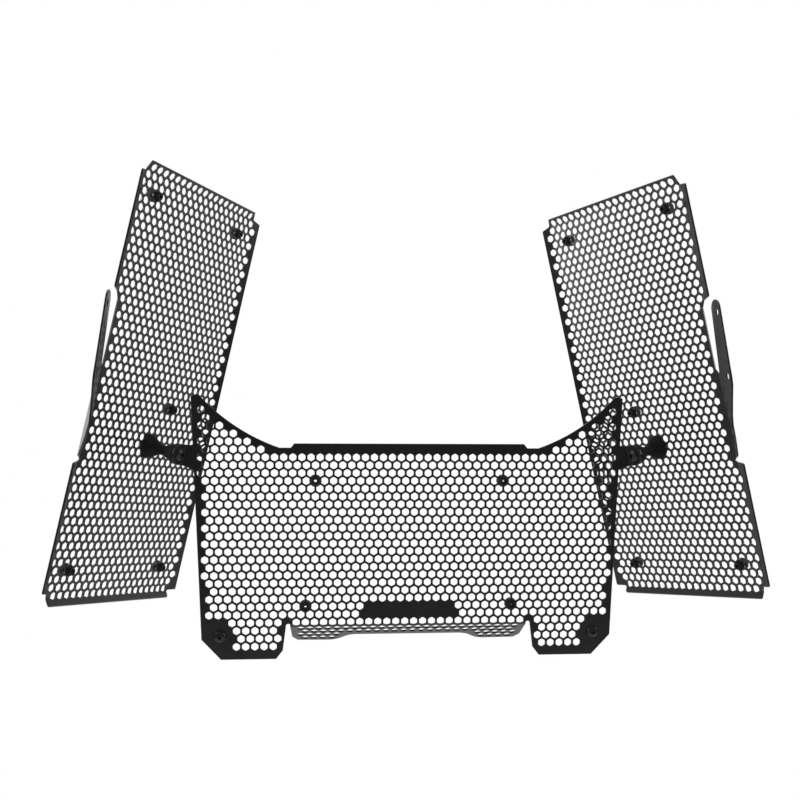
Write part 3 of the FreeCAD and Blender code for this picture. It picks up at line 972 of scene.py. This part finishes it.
mount = lathe("mount_round", side, *mount_at, mount_profile(), steps=mount_steps)
made.append((both("rubber_mounts_round", mount), "rubber_mounts", mount_rubber))
shank = sheet + mount_screw_depth
ear_screw = make_screw("ear_screw", Plane(ear_centre, side.across, side.up), 0, 0, shank)
made.append((both("ear_screws_round", ear_screw), "ear_screws", screw_wear_and_painted_sheen))
base_screw = make_screw("base_screw", side, *mount_at, shank, seat=-sheet, turned=-1.0)
made.append((both("base_screws_round", base_screw), "base_screws", screw_wear_and_painted_sheen))
corner_screw = make_screw("corner_screw", centre, -corner_at[0], corner_at[1], corner_shank)
made.append((both("corner_screws_round", corner_screw), "corner_screws", screw_wear_and_painted_sheen))

for piece, node, material in made:
    piece.data.materials.clear()
    piece.data.materials.append(material)
    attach(piece, "root")
    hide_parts(node)


def seen_directly(tree):
    """1 for rays of the camera, of reflections and through glass, 0 for those that light the object."""
    ray = tree.nodes.new("ShaderNodeLightPath").outputs
    seen = calculated(tree, "MAXIMUM", ray["Is Camera Ray"], ray["Is Glossy Ray"])
    return calculated(tree, "MAXIMUM", seen, ray["Is Transmission Ray"])


def showing_white(name, colour):
    """A matt pale surface that the camera sees nearly white, and plain white further out."""
    material, tree, shader = new_material(name)
    lighter = tuple(c * floor_lighter for c in colour)
    tint(tree, noise(tree, floor_noise, detail=2.0), colour, lighter, shader.inputs["Base Color"])
    shader.inputs["Roughness"].default_value = floor_rough
    glow = tree.nodes.new("ShaderNodeEmission")
    glow.inputs["Color"].default_value = (1, 1, 1, 1)
    glow.inputs["Strength"].default_value = 1.0
    place = tree.nodes.new("ShaderNodeTexCoord")
    far = tree.nodes.new("ShaderNodeVectorMath")
    far.operation = "LENGTH"
    tree.links.new(place.outputs["Object"], far.inputs[0])
    fade = mapped(tree, far.outputs["Value"], floor_fade, (floor_share, 1.0), "SMOOTHSTEP")
    mix = tree.nodes.new("ShaderNodeMixShader")
    tree.links.new(calculated(tree, "MULTIPLY", fade, seen_directly(tree)), mix.inputs[0])
    tree.links.new(shader.outputs[0], mix.inputs[1])
    tree.links.new(glow.outputs[0], mix.inputs[2])
    tree.links.new(mix.outputs[0], tree.nodes["Material Output"].inputs["Surface"])
    return material


def make_floor():
    mesh = bpy.data.meshes.new("floor")
    front, back = floor_depths
    corners = ((-floor_half, front), (floor_half, front), (floor_half, back), (-floor_half, back))
    mesh.from_pydata([(x, y, floor_height) for x, y in corners], [], [(0, 1, 2, 3)])
    mesh.materials.append(showing_white("pale_floor", floor_colour))
    return add_object("floor", mesh)


def lamp(name, place, size, power):
    data = bpy.data.lights.new(name, "AREA")
    data.shape = "RECTANGLE"
    data.size, data.size_y = size
    data.energy = power
    light = add_object(name, data)
    light.location = place
    light.rotation_euler = (Vector(lamp_aim) - Vector(place)).to_track_quat("-Z", "Y").to_euler()


def blend(tree, factor, first, second):
    """A plain value between two others; each of the three is a number or a socket."""
    mix = tree.nodes.new("ShaderNodeMix")
    for value, socket in zip((factor, first, second), mix.inputs[0:1] + mix.inputs[2:4]):
        if isinstance(value, float):
            socket.default_value = value
        else:
            tree.links.new(value, socket)
    return mix.outputs[0]


def studio():
    """White to the camera; for reflections dim in front of and beside the object and white behind it, like
    the lens side of a studio; a plain soft light for the rest."""
    world = bpy.data.worlds.new("studio")
    world.use_nodes = True
    tree = world.node_tree
    light = tree.nodes["Background"]
    light.inputs["Color"].default_value = (1, 1, 1, 1)
    way = tree.nodes.new("ShaderNodeTexCoord")
    parts = tree.nodes.new("ShaderNodeSeparateXYZ")
    tree.links.new(way.outputs["Generated"], parts.inputs[0])
    mirror_light = mapped(tree, parts.outputs["Y"], glow_turn, (front_glow, 1.0), "SMOOTHSTEP")
    ray = tree.nodes.new("ShaderNodeLightPath").outputs
    strength = blend(tree, ray["Is Glossy Ray"], soft_light, mirror_light)
    strength = blend(tree, ray["Is Camera Ray"], strength, 1.0)
    strength = blend(tree, ray["Is Transmission Ray"], strength, 1.0)
    tree.links.new(strength, light.inputs["Strength"])
    return world


def make_camera():
    data = bpy.data.cameras.new("camera")
    data.lens = camera_lens
    data.sensor_width = camera_sensor
    data.clip_start = camera_clip
    look = Vector(camera_look).normalized()
    level = Vector(camera_level)
    level = (level - look * level.dot(look)).normalized()
    rise = level.cross(look)
    camera = add_object("camera", data)
    camera.matrix_world = Matrix([*zip(level, rise, -look, camera_at), (0, 0, 0, 1)])
    return camera


make_floor()
for name, (place, size, power) in lamps.items():
    lamp(name, place, size, power)
bpy.context.scene.world = studio()
bpy.context.scene.view_settings.view_transform = "Standard"
bpy.context.scene.camera = make_camera()
